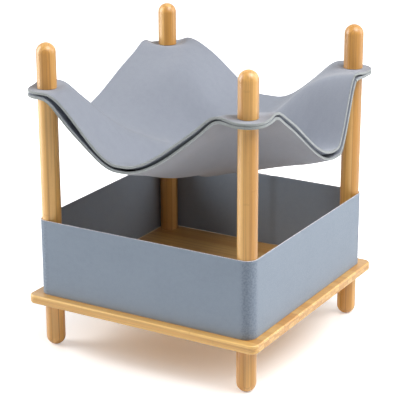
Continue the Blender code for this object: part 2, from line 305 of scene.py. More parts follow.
def at_corner(model: bpy.types.Object, kind: str, corner: Corner) -> bpy.types.Object:
    """Gives a corner its piece: the model itself at the front left, elsewhere a copy with its own mesh.

    Args:
        model: the finished shape, with front_left at the end of its name.
        kind: the start of the names of the nodes that it and its copies stand for.
        corner: where the piece stands.

    Returns:
        The corner's piece.
    """
    first = Corner.FRONT_LEFT
    if corner is first:
        return model
    piece = model.copy()
    piece.data = model.data.copy()
    piece.name = model.name.replace(first.label, corner.label)
    bpy.context.scene.collection.objects.link(piece)
    away = measure(f"{kind}_{corner.label}").axis - measure(f"{kind}_{first.label}").axis
    set_points(piece, mesh_points(piece) + np.array(away))
    return piece


# Materials


class NodeBoard:
    """A short way to add and join the nodes of one tree. What a node is given is a value or a socket."""

    def __init__(self, tree: bpy.types.NodeTree) -> None:
        """Keeps the tree, which is a material's, a world's or a group's."""
        self.tree = tree
        self.column = 0

    def feed(self, inputs: Any, values: dict[Any, Any]) -> None:
        """Sets inputs, or joins them to what feeds them.

        Args:
            inputs: the inputs of a node.
            values: for each input's name or number, a value or the socket that feeds it.
        """
        for name, value in values.items():
            if isinstance(value, bpy.types.NodeSocket):
                self.tree.links.new(value, inputs[name])
            else:
                inputs[name].default_value = value

    def add(self, kind: str, inputs: dict[Any, Any] | None = None, **settings: Any) -> bpy.types.Node:
        """Adds a node, sets it and joins what feeds it.

        Args:
            kind: the node's type.
            inputs: for each input's name or number, a value or the socket that feeds it.
            **settings: the node's own values.

        Returns:
            The node.
        """
        node = self.tree.nodes.new(kind)
        node.location = (self.column * 180, -(self.column % 5) * 160)
        self.column += 1
        for name, value in settings.items():
            setattr(node, name, value)
        self.feed(node.inputs, inputs or {})
        return node

    def math(self, operation: str, first: Any, second: Any = 0.0) -> bpy.types.NodeSocket:
        """The result of a Math node."""
        return self.add("ShaderNodeMath", {0: first, 1: second}, operation=operation).outputs[0]

    def vector(self, operation: str, first: Any, inputs: dict[Any, Any]) -> bpy.types.NodeSocket:
        """The result of a Vector Math node, given its first input and its others."""
        return self.add("ShaderNodeVectorMath", {0: first, **inputs}, operation=operation).outputs[0]

    def remap(self, value: Any, span: Pair, to: Pair) -> bpy.types.NodeSocket:
        """A span of values carried over onto another, smoothly at both ends and level beyond them."""
        inputs = {0: value, 1: span[0], 2: span[1], 3: to[0], 4: to[1]}
        return self.add("ShaderNodeMapRange", inputs, interpolation_type="SMOOTHSTEP").outputs[0]

    def mix(self, share: Any, first: Any, second: Any) -> bpy.types.NodeSocket:
        """A mix of two colours, with this share of the second."""
        return self.add("ShaderNodeMix", {0: share, 6: first, 7: second}, data_type="RGBA").outputs[2]

    def cloud(
        self, place: Any, scale: float, detail: float = 2.0, roughness: float = 0.5
    ) -> bpy.types.NodeSocket:
        """Noise from 0 to 1, with scale features to a metre and finer layers as detail and roughness say."""
        inputs = {"Vector": place, "Scale": scale, "Detail": detail, "Roughness": roughness}
        return self.add("ShaderNodeTexNoise", inputs).outputs[0]

    def streaks(
        self, place: Any, scale: Triple, turn: float = 0.0, detail: float = 1.0, roughness: float = 0.5
    ) -> bpy.types.NodeSocket:
        """Noise with its own scale along each axis, turned about Z by so many degrees."""
        inputs = {"Vector": place, "Scale": scale, "Rotation": (0.0, 0.0, math.radians(turn))}
        return self.cloud(self.add("ShaderNodeMapping", inputs).outputs[0], 1.0, detail, roughness)

    def show(self, shader: bpy.types.Node, effect: bpy.types.Node, bump: float, relief: float) -> None:
        """Joins a group to a shader: its colour, its height as bump, and its roughness where it has one.

        Args:
            shader: the material's Principled shader.
            effect: the group's node.
            bump: how strongly the height shows.
            relief: how high it is, in metres.
        """
        given = effect.outputs
        raised = self.add("ShaderNodeBump", {"Strength": bump, "Distance": relief, "Height": given["Height"]})
        self.feed(shader.inputs, {"Base Color": given["Colour"], "Normal": raised.outputs[0]})
        if "Roughness" in given:
            self.feed(shader.inputs, {"Roughness": given["Roughness"]})


def new_group(name: str, inputs: dict[str, str], outputs: dict[str, str]) -> tuple[NodeBoard, Any, Any]:
    """Makes an empty node group with named sockets.

    Args:
        name: the group's name.
        inputs: each input's socket type.
        outputs: each output's socket type.

    Returns:
        The group's board, its input node's sockets and its output node's sockets.
    """
    tree = bpy.data.node_groups.new(name, "ShaderNodeTree")
    for side, sockets in (("INPUT", inputs), ("OUTPUT", outputs)):
        for label, kind in sockets.items():
            tree.interface.new_socket(label, in_out=side, socket_type=kind)
    board = NodeBoard(tree)
    return board, board.add("NodeGroupInput").outputs, board.add("NodeGroupOutput").inputs


def new_material(name: str) -> tuple[bpy.types.Material, NodeBoard, bpy.types.Node]:
    """Makes a material with a bare Principled shader.

    Args:
        name: the material's name.

    Returns:
        The material, its board and its shader.
    """
    material = bpy.data.materials.new(name)
    material.use_nodes = True
    return material, NodeBoard(material.node_tree), material.node_tree.nodes["Principled BSDF"]


def opaque(colour: Triple) -> tuple[float, ...]:
    """A colour with its full alpha."""
    return (*colour, 1.0)


@dataclass(frozen=True)
class BambooFigure:
    """The marks of laminated bamboo. Scales are to a metre: across, through and along the grain."""

    own_tone: float = 1.25            # how far the strips differ in tone
    drift: float = 0.7                # how far a tone drifts along its strip
    drift_scale: Triple = (22.0, 22.0, 3.0)
    fibre: float = 0.20               # how dark the long fibres are
    fibre_scale: Triple = (620.0, 620.0, 7.0)
    fibre_layers: Pair = (3.0, 0.62)  # how many finer layers the noise has, and how rough they are
    fibre_span: Pair = (0.42, 0.72)
    streak: float = 0.40              # how dark the broader streaks are
    streak_scale: Triple = (240.0, 240.0, 3.0)
    streak_span: Pair = (0.48, 0.70)
    pore: float = 0.24                # how dark the short pores are
    pore_scale: Triple = (1300.0, 1300.0, 75.0)
    pore_span: Pair = (0.66, 0.76)
    knuckle: float = 0.14             # how dark the band across a strip is
    knuckle_span: Pair = (0.0004, 0.0026)
    knuckle_shift: float = 3.7        # how far apart the knuckles of two strips may lie
    stray: float = 0.010              # how far a knuckle strays from level
    stray_scale: float = 60.0
    strip_line: float = 0.34          # how dark the glue lines between strips are
    strip_span: Pair = (0.0002, 0.0007)
    layer_line: float = 0.32          # and those between layers
    layer_span: Pair = (0.0002, 0.0006)
    roughness: float = 0.36
    fibre_roughness: float = 0.35     # what a fibre adds to it

    def group(self) -> bpy.types.NodeTree:
        """Makes the group. It reads a place in the blank: X across the strips, Y through the layers, Z along.

        Returns:
            The node group.
        """
        board, given, out = new_group(
            "Laminated bamboo",
            {"Place": VECTOR, "Pale": COLOUR, "Deep": COLOUR, "Dark": COLOUR,
             "Strip": FLOAT, "Layer": FLOAT, "Knuckles": FLOAT, "Tone": FLOAT},
            {"Colour": COLOUR, "Roughness": FLOAT, "Height": FLOAT})
        place, dark = given["Place"], given["Dark"]
        parts = board.add("ShaderNodeSeparateXYZ", {0: place}).outputs
        across = board.math("DIVIDE", parts[0], given["Strip"])
        through = board.math("DIVIDE", parts[1], given["Layer"])
        cell = {0: board.math("FLOOR", across), 1: board.math("FLOOR", through), 2: 0.5}
        token = board.add("ShaderNodeCombineXYZ", cell).outputs[0]
        draw = board.add("ShaderNodeTexWhiteNoise", {"Vector": token}, noise_dimensions="3D")
        chance = draw.outputs["Color"]
        tone = board.add("ShaderNodeSeparateColor", {0: chance}).outputs
        # Broad tone: each strip has its own, and it drifts along the strip
        slow = board.streaks(place, self.drift_scale, detail=2.0)
        own = board.math("MULTIPLY", board.math("SUBTRACT", tone[0], 0.5), self.own_tone)
        drift = board.math("MULTIPLY", board.math("SUBTRACT", slow, 0.5), self.drift)
        depth = board.math("ADD", board.math("ADD", own, drift), board.math("ADD", given["Tone"], 0.5))
        depth = board.add("ShaderNodeClamp", {0: depth}).outputs[0]
        colour = board.mix(depth, given["Pale"], given["Deep"])
        # Long fibres, broader streaks and short dark pores
        shifted = board.vector("ADD", place, {1: chance})
        fibres = board.streaks(shifted, self.fibre_scale, 0.0, *self.fibre_layers)
        streaks = board.streaks(shifted, self.streak_scale, detail=2.0)
        fibre = board.remap(fibres, self.fibre_span, (0.0, self.fibre))
        streak = board.remap(streaks, self.streak_span, (0.0, self.streak))
        pore = board.remap(board.streaks(shifted, self.pore_scale), self.pore_span, (0.0, self.pore))
        colour = board.mix(board.math("MAXIMUM", fibre, streak), colour, dark)
        colour = board.mix(pore, colour, dark)
        # Knuckles: a thin dark band across each strip, at its own heights
        stray = board.math("MULTIPLY", board.cloud(place, self.stray_scale), self.stray)
        shift = board.math("MULTIPLY", tone[1], self.knuckle_shift)
        height = board.math("ADD", board.math("ADD", parts[2], stray), shift)
        phase = board.math("FRACT", board.math("MULTIPLY", height, given["Knuckles"]))
        away = board.math("ABSOLUTE", board.math("SUBTRACT", phase, 0.5))
        away = board.math("DIVIDE", away, given["Knuckles"])
        colour = board.mix(board.remap(away, self.knuckle_span, (self.knuckle, 0.0)), colour, dark)
        # Glue lines between strips and between layers
        lines = []
        for position, width, span, mark in (
            (across, given["Strip"], self.strip_span, self.strip_line),
            (through, given["Layer"], self.layer_span, self.layer_line),
        ):
            away = board.math("MULTIPLY", board.math("PINGPONG", position, 0.5), width)
            lines.append(board.remap(away, span, (mark, 0.0)))
        line = board.math("MAXIMUM", *lines)
        marks = board.math("ADD", fibre, board.math("ADD", line, pore))
        rough = board.math("ADD", board.math("MULTIPLY", fibre, self.fibre_roughness), self.roughness)
        board.feed(out, {
            "Colour": board.mix(line, colour, dark), "Roughness": rough,
            "Height": board.math("SUBTRACT", 1.0, marks)})
        return board.tree


@dataclass(frozen=True)
class FeltFigure:
    """The marks of pressed felt: fibres laid every way and soft mottling. Scales are to a metre."""

    bend: float = 0.0035              # how far the fibres are bent
    bend_scale: float = 160.0
    lays: tuple[tuple[Triple, float], ...] = (
        ((330.0, 3000.0, 1500.0), 18.0), ((420.0, 2600.0, 1500.0), 67.0), ((3000.0, 330.0, 1500.0), -31.0))
    fibre_span: Pair = (0.60, 0.78)
    light: float = 0.34               # how strongly the light fibres show
    dark: float = 0.30                # and the dark ones
    patch_scale: float = 95.0
    patch_layers: Pair = (3.0, 0.6)   # how many finer layers the noise has, and how rough they are
    broad_scale: float = 17.0
    patch_span: Pair = (0.3, 0.7)
    patch: float = 0.5                # how far the small patches go either way
    broad: float = 0.4                # and the broad ones
    fleck_scale: float = 300.0
    fleck_layers: Pair = (3.0, 0.75)
    fleck_span: Pair = (0.44, 0.60)
    fleck: Pair = (0.15, 1.0)
    speckle_scale: float = 620.0
    speckle_layers: Pair = (2.0, 0.7)
    speckle_span: Pair = (0.45, 0.68)
    speckle: float = 0.7
    under_relief: float = 0.7         # how much the dark fibres add to the relief
    patch_relief: float = 0.8

    def group(self) -> bpy.types.NodeTree:
        """Makes the group. It reads a place in the flat cut, in metres, the mask of cuts and the mask of
        painted shade at bends.

        Returns:
            The node group.
        """
        board, given, out = new_group(
            "Pressed felt",
            {"Place": VECTOR, "Body": COLOUR, "Light fibres": COLOUR, "Dark fibres": COLOUR,
             "Cut colour": COLOUR, "Cut": FLOAT, "Stretch": FLOAT, "Mottling": FLOAT},
            {"Colour": COLOUR, "Height": FLOAT})
        place, pale, deep = given["Place"], given["Light fibres"], given["Dark fibres"]
        warp = board.add("ShaderNodeTexNoise", {"Vector": place, "Scale": self.bend_scale, "Detail": 1.0})
        shift = board.vector("SUBTRACT", warp.outputs[1], {1: (0.5, 0.5, 0.5)})
        bent = board.vector("ADD", place, {1: board.vector("SCALE", shift, {"Scale": self.bend})})
        along, aslant, under = (board.streaks(bent, scale, turn) for scale, turn in self.lays)
        upper = board.math("MAXIMUM", along, aslant)
        light = board.remap(upper, self.fibre_span, (0.0, self.light))
        dark = board.remap(under, self.fibre_span, (0.0, self.dark))
        # Soft mottling, lighter and darker than the body
        patch = board.cloud(place, self.patch_scale, *self.patch_layers)
        small = board.remap(patch, self.patch_span, (-self.patch, self.patch))
        broad = board.cloud(place, self.broad_scale)
        large = board.remap(broad, self.patch_span, (-self.broad, self.broad))
        mottle = board.math("MULTIPLY", board.math("ADD", small, large), given["Mottling"])
        colour = board.mix(board.math("MAXIMUM", mottle, 0.0), given["Body"], pale)
        sunk = board.math("MAXIMUM", board.math("MULTIPLY", mottle, -1.0), 0.0)
        colour = board.mix(sunk, colour, deep)
        # Painted shade: round a bend the felt is darkened in dark flecks
        flecks = board.cloud(place, self.fleck_scale, *self.fleck_layers)
        flecks = board.remap(flecks, self.fleck_span, self.fleck)
        colour = board.mix(board.math("MULTIPLY", given["Stretch"], flecks), colour, deep)
        speckle = board.cloud(place, self.speckle_scale, *self.speckle_layers)
        speckled = board.remap(speckle, self.speckle_span, (0.0, self.speckle))
        cut = board.mix(speckled, given["Cut colour"], deep)
        colour = board.mix(light, board.mix(given["Cut"], colour, cut), pale)
        relief = board.math("ADD", upper, board.math("MULTIPLY", under, self.under_relief))
        relief = board.math("ADD", relief, board.math("MULTIPLY", patch, self.patch_relief))
        board.feed(out, {"Colour": board.mix(dark, colour, deep), "Height": relief})
        return board.tree


@dataclass(frozen=True)
class MetalFigure:
    """The marks of handled metal: fine turned lines and small dull patches. Scales are to a metre."""

    line_scale: Triple = (60.0, 60.0, 4000.0)
    patch_scale: float = 350.0
    patch_span: Pair = (0.45, 0.7)
    patch: float = 0.6                # how dull the patches are
    roughness: float = 0.24
    patch_roughness: float = 0.25     # what a patch adds to it

    def group(self) -> bpy.types.NodeTree:
        """Makes the group. It reads a place on the piece.

        Returns:
            The node group.
        """
        board, given, out = new_group(
            "Turned metal", {"Place": VECTOR, "Bright": COLOUR, "Dull": COLOUR},
            {"Colour": COLOUR, "Roughness": FLOAT, "Height": FLOAT})
        patches = board.cloud(given["Place"], self.patch_scale, 3.0)
        dull = board.remap(patches, self.patch_span, (0.0, self.patch))
        rough = board.math("ADD", board.math("MULTIPLY", dull, self.patch_roughness), self.roughness)
        board.feed(out, {
            "Colour": board.mix(dull, given["Bright"], given["Dull"]), "Roughness": rough,
            "Height": board.streaks(given["Place"], self.line_scale, detail=2.0)})
        return board.tree


@dataclass(frozen=True)
class BambooFinish:
    """Clear-coated laminated bamboo. The widths are those of its glued strips, in metres."""

    name: str
    pale: Triple
    deep: Triple
    dark: Triple
    strip: float
    layer: float
    knuckles: float                   # how many there are to a metre
    coat: float = 0.90
    coat_roughness: float = 0.40
    ior: float = 1.48
    bump: float = 0.5
    relief: float = 0.00012

    def make(self, group: bpy.types.NodeTree) -> bpy.types.Material:
        """Builds the material.

        Args:
            group: the laminated bamboo group.

        Returns:
            The material.
        """
        material, board, shader = new_material(self.name)
        stock, tone = (board.add("ShaderNodeAttribute", attribute_name=label) for label in (STOCK, TONE_AND_LIGHT))
        grain = board.add("ShaderNodeGroup", {
            "Place": stock.outputs["Vector"], "Tone": tone.outputs["Fac"], "Pale": opaque(self.pale),
            "Deep": opaque(self.deep), "Dark": opaque(self.dark), "Strip": self.strip, "Layer": self.layer,
            "Knuckles": self.knuckles}, node_tree=group)
        board.show(shader, grain, self.bump, self.relief)
        board.feed(shader.inputs, {
            "Coat Weight": self.coat, "Coat Roughness": self.coat_roughness, "IOR": self.ior})
        return material


@dataclass(frozen=True)
class FeltFinish:
    """Pressed felt, read on the piece's UV map, which holds the flat cut in metres."""

    name: str
    body: Triple
    light: Triple
    dark: Triple
    cut: Triple
    mottling: float
    roughness: float = 0.94
    specular: float = 0.25
    sheen: float = 0.30
    sheen_roughness: float = 0.50
    bump: float = 0.6
    relief: float = 0.00035

    def make(self, group: bpy.types.NodeTree) -> bpy.types.Material:
        """Builds the material.

        Args:
            group: the pressed felt group.

        Returns:
            The material.
        """
        material, board, shader = new_material(self.name)
        flat = board.add("ShaderNodeUVMap", uv_map="UVMap").outputs[0]
        cut, stretch = (board.add("ShaderNodeAttribute", attribute_name=label) for label in (CUT, BEND_SHADE))
        felt = board.add("ShaderNodeGroup", {
            "Place": flat, "Cut": cut.outputs["Fac"], "Stretch": stretch.outputs["Fac"],
            "Body": opaque(self.body), "Light fibres": opaque(self.light), "Dark fibres": opaque(self.dark),
            "Cut colour": opaque(self.cut), "Mottling": self.mottling}, node_tree=group)
        board.show(shader, felt, self.bump, self.relief)
        board.feed(shader.inputs, {
            "Roughness": self.roughness, "Specular IOR Level": self.specular, "Sheen Weight": self.sheen,
            "Sheen Roughness": self.sheen_roughness})
        return material


@dataclass(frozen=True)
class MetalFinish:
    """Bare or plated metal, turned."""

    name: str
    bright: Triple
    dull: Triple
    bump: float = 0.3
    relief: float = 0.00005

    def make(self, group: bpy.types.NodeTree) -> bpy.types.Material:
        """Builds the material.

        Args:
            group: the turned metal group.

        Returns:
            The material.
        """
        material, board, shader = new_material(self.name)
        place = board.add("ShaderNodeTexCoord").outputs["Object"]
        metal = board.add("ShaderNodeGroup", {
            "Place": place, "Bright": opaque(self.bright), "Dull": opaque(self.dull)}, node_tree=group)
        board.show(shader, metal, self.bump, self.relief)
        board.feed(shader.inputs, {"Metallic": 1.0})
        return material


@dataclass
class Finishes:
    """Every finish of the object, made once."""

    rod: bpy.types.Material = field(init=False)
    board: bpy.types.Material = field(init=False)
    hammock: bpy.types.Material = field(init=False)
    wall: bpy.types.Material = field(init=False)
    brass: bpy.types.Material = field(init=False)
    steel: bpy.types.Material = field(init=False)

    def __post_init__(self) -> None:
        """Makes the groups and the materials that use them."""
        bamboo, felt, metal = BambooFigure().group(), FeltFigure().group(), MetalFigure().group()
        self.rod = BambooFinish(
            "rod_bamboo", pale=(0.91, 0.525, 0.155), deep=(0.63, 0.298, 0.052), dark=(0.35, 0.130, 0.018),
            strip=0.0115, layer=0.0095, knuckles=2.1).make(bamboo)
        self.board = BambooFinish(
            "board_bamboo", pale=(0.90, 0.560, 0.175), deep=(0.70, 0.345, 0.075), dark=(0.36, 0.135, 0.022),
            strip=0.0180, layer=0.0054, knuckles=2.4).make(bamboo)
        self.hammock = FeltFinish(
            "hammock_felt_finish", body=(0.312, 0.336, 0.394), light=(0.40, 0.425, 0.48),
            dark=(0.195, 0.215, 0.26), cut=(0.36, 0.385, 0.375), mottling=0.12).make(felt)
        self.wall = FeltFinish(
            "wall_felt_finish", body=(0.268, 0.324, 0.400), light=(0.37, 0.42, 0.49),
            dark=(0.145, 0.180, 0.24), cut=(0.68, 0.66, 0.69), mottling=0.10).make(felt)
        self.brass = MetalFinish("brass_finish", (0.72, 0.53, 0.25), (0.45, 0.32, 0.15)).make(metal)
        self.steel = MetalFinish("steel_finish", (0.64, 0.64, 0.62), (0.38, 0.38, 0.37)).make(metal)


def hang_on(piece: bpy.types.Object, material: bpy.types.Material, body: str, node: str) -> None:
    """Gives a piece its finish, hangs it on its body and puts it in its CAD node's place.

    Args:
        piece: the object.
        material: its only material.
        body: the CAD body that it moves with.
        node: the CAD node that it stands for.
    """
    piece.data.materials.clear()
    piece.data.materials.append(material)
    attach(piece, body)
    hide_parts(node)
    log.info("%s: %d faces on %s", piece.name, len(piece.data.polygons), body)


def cut_from_stock(
    piece: bpy.types.Object, axes: tuple[Vector, Vector, Vector], origin: Vector, seat: Vector,
    tone: float = 0.0,
) -> None:
    """Writes where each point of a bamboo piece lies in the blank that it was cut from.

    Args:
        piece: the mesh object.
        axes: the directions over the strips, through the layers and along the grain.
        origin: the point of the piece that lies at seat.
        seat: a place in the blank.
        tone: how much deeper its bamboo is than the usual.
    """
    points = mesh_points(piece) - np.array(origin)
    write_values(piece.data, STOCK, points @ np.array(axes).T + np.array(seat))
    write_values(piece.data, TONE_AND_LIGHT, np.full(len(points), tone))


# Wood and metal


@dataclass
class RodWork:
    """Feet, posts and caps, all cut from one round bamboo rod. The frame gives their places."""

    finishes: Finishes
    sides: int = 72
    dome_rings: int = 14
    saw_ease: float = 0.0008
    ease_steps: int = 3
    foot_flat: float = 0.005          # radius of the flat that a foot stands on
    bore_relief: float = 0.003        # how much deeper a bore goes than its insert
    seat_step: float = 0.37           # from one piece to the next in the blank
    seat_slant: float = 1.7
    grain: dict[str, Pair] = field(default_factory=lambda: {  # the turn of the strips, and the tone; the front left post's paler tone is painted light
        # The front left post's tone of -0.75 is painted light: it is paler to stand in for the left lamp
        # falling strongly on it.
        "post_front_left": (62.0, -0.75), "post_front_right": (8.0, -0.18),
        "post_back_right": (24.0, 0.10), "post_back_left": (75.0, 0.1),
        "cap_front_left": (33.0, 0.30), "cap_front_right": (27.0, 0.0),
        "cap_back_right": (40.0, 0.80), "cap_back_left": (20.0, 0.30),
        "foot_front_left": (22.0, 0.0), "foot_front_right": (35.0, -0.1),
        "foot_back_right": (64.0, 0.2), "foot_back_left": (33.0, 0.0),
    })
    pieces: dict[tuple[Rod, Corner], bpy.types.Object] = field(default_factory=dict)

    def dome(self, rod: bpy.types.Object, size: Round, end: float, toward: int, flat: float) -> None:
        """Extrudes the end face of a rod ring by ring into a half ball.

        Args:
            rod: the rod.
            size: its axis and radius.
            end: height of the end face.
            toward: 1 where the dome rises and -1 where it points down.
            flat: radius of the flat at its pole, or 0 for a closed pole.
        """
        last = math.acos(flat / size.radius)
        with editing(rod):
            pick(rod, Part.FACE, lambda face: face.normal.z * toward > LEVEL)
            for ring in range(self.dome_rings):
                before, after = (last * step / self.dome_rings for step in (ring, ring + 1))
                rise = toward * size.radius * (math.sin(after) - math.sin(before))
                closing = flat == 0.0 and ring == self.dome_rings - 1
                scale = 1.0 if closing else math.cos(after) / math.cos(before)
                grow_faces(rise, scale, Vector((size.axis.x, size.axis.y, end)))
                if closing:
                    bpy.ops.mesh.merge(type="CENTER")

    def open_end(self, rod: bpy.types.Object, size: Round, end: float, held: Round, depth: float) -> None:
        """Rounds the rim of a sawn end and sinks a blind hole into it.

        Args:
            rod: the rod.
            size: its radius.
            end: height of the sawn end.
            held: the insert or stud that the hole holds.
            depth: how far it goes along Z, negative for downwards.
        """
        flat_rim = size.radius - self.saw_ease
        with editing(rod):
            pick(rod, Part.EDGE, lambda edge: all(abs(vert.co.z - end) < NEAR for vert in edge.verts))
            bpy.ops.mesh.bevel(offset=self.saw_ease, segments=self.ease_steps, affect="EDGES")
        with editing(rod):
            pick(rod, Part.FACE, lambda face: (
                abs(face.normal.z) > LEVEL and abs(face.calc_center_median().z - end) < NEAR))
            bpy.ops.mesh.inset(thickness=flat_rim - (held.radius + TOUCH))
            grow_faces(depth)

    def model(self, kind: Rod, corner: Corner) -> bpy.types.Object:
        """Models one piece. A foot is domed below, with a flat to stand on, and a cap is domed above.

        Args:
            kind: what is made.
            corner: where it stands.

        Returns:
            The finished shape.
        """
        node = f"{kind.value}_{corner.label}"
        size = measure(node)
        insert = measure(f"{kind.value}_insert_{corner.label}")
        depth = insert.top - insert.bottom + self.bore_relief
        bottom, top = size.bottom, size.top
        if kind is Rod.FOOT:
            bottom += math.sqrt(size.radius ** 2 - self.foot_flat ** 2)
        if kind is Rod.CAP:
            top -= size.radius
        rod = add_cylinder(f"rod_{node}", self.sides, size.radius, (bottom, top), size.axis)
        if kind is Rod.FOOT:
            self.dome(rod, size, bottom, -1, self.foot_flat)
            self.open_end(rod, size, top, insert, -depth)
        if kind is Rod.CAP:
            self.dome(rod, size, top, 1, 0.0)
            self.open_end(rod, size, bottom, insert, depth)
        if kind is Rod.POST:
            stud = measure(f"cap_stud_{corner.label}")
            self.open_end(rod, size, bottom, insert, depth)
            self.open_end(rod, size, top, stud, stud.bottom - top - TOUCH)
        settle(rod)
        return rod

    def build(self) -> None:
        """Models each kind once, at the front left, and copies it to the other corners."""
        models = {kind: self.model(kind, Corner.FRONT_LEFT) for kind in Rod}
        for corner in Corner:
            for kind, model in models.items():
                self.pieces[kind, corner] = at_corner(model, kind.value, corner)

    def dress(self) -> None:
        """Gives each piece its grain and its finish, and hangs it on its body."""
        for (kind, corner), rod in self.pieces.items():
            node = f"{kind.value}_{corner.label}"
            degrees, tone = self.grain[node]
            turn = math.radians(degrees)
            across = Vector((math.cos(turn), math.sin(turn), 0.0))
            through = Vector((-math.sin(turn), math.cos(turn), 0.0))
            step = self.seat_step * (1 + sorted(self.grain).index(node))
            seat = Vector((step, step * self.seat_slant, step))
            cut_from_stock(rod, (across, through, Vector((0, 0, 1))), measure(node).axis, seat, tone)
            body = f"cap_knob_{corner.label}" if kind is Rod.CAP else "frame"
            hang_on(rod, self.finishes.rod, body, node)


@dataclass
class BoardWork:
    """The square base board, glued up from strips that run along X."""

    finishes: Finishes
    corner: float = 0.013
    corner_steps: int = 10
    ease: float = 0.003
    ease_steps: int = 5
    hole_room: float = 0.0006         # how much wider a hole is than its stud, on the radius
    hole_sides: int = 40
    seat: Triple = (0.31, 0.0054 * 7, 2.9)  # its lowest corner's place in the blank, seven layers up
    node: str = "base_board"
    piece: bpy.types.Object = field(init=False)

    def build(self) -> None:
        """Makes the board, rounds its corners and edges, and drills it for the studs."""
        low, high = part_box(self.node)
        thickness = high.z - low.z
        let_go()
        bpy.ops.mesh.primitive_cube_add(size=1.0, location=(low + high) / 2, scale=high - low)
        board = self.piece = name_new("board")
        with editing(board):
            pick(board, Part.EDGE, lambda edge: (edge.verts[0].co.xy - edge.verts[1].co.xy).length < NEAR)
            bpy.ops.mesh.bevel(offset=self.corner, segments=self.corner_steps, affect="EDGES")
            pick(board, Part.EDGE, lambda edge: abs(edge.verts[0].co.z - edge.verts[1].co.z) < NEAR)
            bpy.ops.mesh.bevel(offset=self.ease, segments=self.ease_steps, affect="EDGES")
        for corner in Corner:
            stud = measure(f"foot_stud_{corner.label}")
            ends = (low.z - thickness, high.z + thickness)
            drill = add_cylinder("drill", self.hole_sides, stud.radius + self.hole_room, ends, stud.axis)
            apply_modifier(board, "BOOLEAN", operation="DIFFERENCE", solver="EXACT", object=drill)
            take(drill)
            bpy.ops.object.delete()
        settle(board)

    def dress(self) -> None:
        """Gives the board its grain and its finish."""
        axes = (Vector((0, 1, 0)), Vector((0, 0, 1)), Vector((1, 0, 0)))
        cut_from_stock(self.piece, axes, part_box(self.node)[0], Vector(self.seat))
        hang_on(self.piece, self.finishes.board, "frame", self.node)


@dataclass
class HardwareWork:
    """Studs and inserts. The cap studs are threaded, because they show once a cap is unscrewed."""

    finishes: Finishes
    nodes: dict[str, bpy.types.Object]  # the frame's
    pitch: float = 0.00125
    thread_depth: float = 0.00065
    sides: int = 28
    rings_to_a_turn: int = 6
    taper_turns: int = 2
    studs: dict[Corner, bpy.types.Object] = field(init=False)

    def build(self) -> None:
        """Models one cap stud with a helical thread and copies it to the other corners."""
        node = f"cap_stud_{Corner.FRONT_LEFT.label}"
        size = measure(node)
        length = size.top - size.bottom
        stud = add_cylinder(f"thread_{node}", self.sides, size.radius, (size.bottom, size.top), size.axis)
        with editing(stud):
            pick(stud, Part.EDGE, lambda edge: abs(edge.verts[0].co.z - edge.verts[1].co.z) > length / 2)
            rings = round(length / self.pitch * self.rings_to_a_turn)
            bpy.ops.mesh.subdivide_edgering(number_cuts=rings, interpolation="LINEAR")
        points = mesh_points(stud)
        offset = points - np.array(size.axis)
        angle = np.arctan2(offset[:, 1], offset[:, 0])
        groove = np.abs(2 * np.mod(offset[:, 2] / self.pitch - angle / math.tau, 1.0) - 1)
        run_out = self.taper_turns * self.pitch
        taper = np.clip((np.abs(offset[:, 2]) - (length / 2 - run_out)) / run_out, 0.0, 1.0)
        shrink = 1 - self.thread_depth * np.maximum(groove, taper) / size.radius
        points[:, :2] = np.array(size.axis)[:2] + offset[:, :2] * shrink[:, None]
        set_points(stud, points)
        settle(stud)
        self.studs = {corner: at_corner(stud, "cap_stud", corner) for corner in Corner}

    def dress(self) -> None:
        """Finishes the threaded studs, and the CAD nodes that stay: the inserts and the foot studs."""
        for corner, stud in self.studs.items():
            hang_on(stud, self.finishes.steel, "frame", f"cap_stud_{corner.label}")
        for name, node in self.nodes.items():
            if "insert" in name or name.startswith("foot_stud"):
                node.data.materials.clear()
                node.data.materials.append(self.finishes.brass if "insert" in name else self.finishes.steel)


# Felt


def smooth(value: np.ndarray) -> np.ndarray:
    """A smooth step from 0 at and under 0 to 1 at and over 1."""
    value = np.clip(value, 0.0, 1.0)
    return value * value * (3.0 - 2.0 * value)


def hump(value: np.ndarray, at: float, width: float) -> np.ndarray:
    """A bell curve of height 1."""
    return np.exp(-((value - at) / width) ** 2)


def arc(centre: Pair, radius: float, start: float, end: float, steps: int) -> np.ndarray:
    """Points of an arc in a plane, both its ends included, with so many steps between them."""
    angles = np.linspace(start, end, steps + 1)
    return np.stack([centre[0] + radius * np.cos(angles), centre[1] + radius * np.sin(angles)], axis=1)


